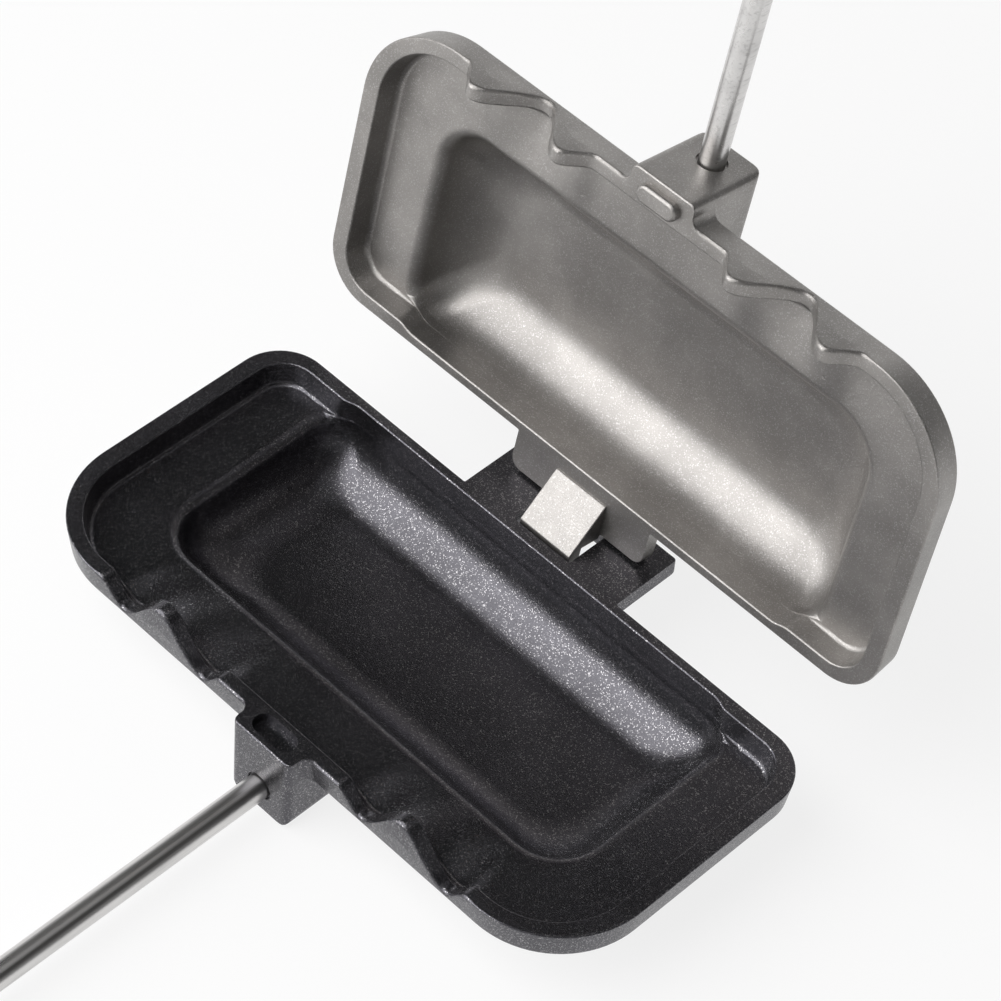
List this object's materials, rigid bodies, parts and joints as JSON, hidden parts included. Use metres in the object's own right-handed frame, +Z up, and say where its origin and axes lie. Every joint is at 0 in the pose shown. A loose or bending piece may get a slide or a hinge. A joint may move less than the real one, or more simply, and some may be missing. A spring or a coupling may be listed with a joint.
{
  "type": "pie iron",
  "caption": "Hinged two-half cast pie iron with a long trough, a wavy crimping edge, a hook hinge, a rod handle with a wooden grip on each half and a swinging latch.",
  "frame": {"origin": "on the floor under the middle of the lower shell, at the foot of its trough", "axes": "+X along the shell, +Y from the handle to the hinge, +Z up"},
  "size_m": [0.18, 0.6245, 0.5273],
  "materials": {
    "black_casting": "black non-stick coat, satin, with fine grain",
    "grey_casting": "grey metallic non-stick coat, satin, with fine grain",
    "rod_steel": "drawn and polished",
    "pin_steel": "plain",
    "bolster_steel": "satin",
    "grip_wood": "oiled",
    "brass": "satin",
    "latch_steel": "satin",
    "black_steel": "blackened"
  },
  "bodies": {
    "lower_half": {"lower_shell": "black_casting", "lower_rod": "rod_steel", "lower_rod_pin": "pin_steel", "lower_bolster": "bolster_steel", "lower_tang": "bolster_steel", "lower_grip_inner": "grip_wood", "lower_grip_outer": "grip_wood", "lower_rivets": "brass", "lower_eyelet": "brass"},
    "upper_half": {"upper_shell": "grey_casting", "upper_rod": "rod_steel", "upper_rod_pin": "pin_steel", "upper_bolster": "bolster_steel", "upper_tang": "bolster_steel", "upper_grip_inner": "grip_wood", "upper_grip_outer": "grip_wood", "upper_rivets": "brass", "upper_eyelet": "brass", "latch_front_collar": "latch_steel", "latch_rear_collar": "latch_steel", "latch_grub_screws": "black_steel"},
    "latch": {"latch_hook": "latch_steel"}
  },
  "joints": [
    {"name": "lid_hinge", "type": "hinge", "parent": "lower_half", "child": "upper_half", "pos_m": [0, 0.05363, 0.02446], "axis": [1, 0, 0], "range_deg": [0, 100]},
    {"name": "latch_swing", "type": "hinge", "parent": "upper_half", "child": "latch", "pos_m": [0, 0.11987, 0.3083], "axis": [0, -0.1736, -0.9848], "range_deg": [0, 180]}
  ]
}
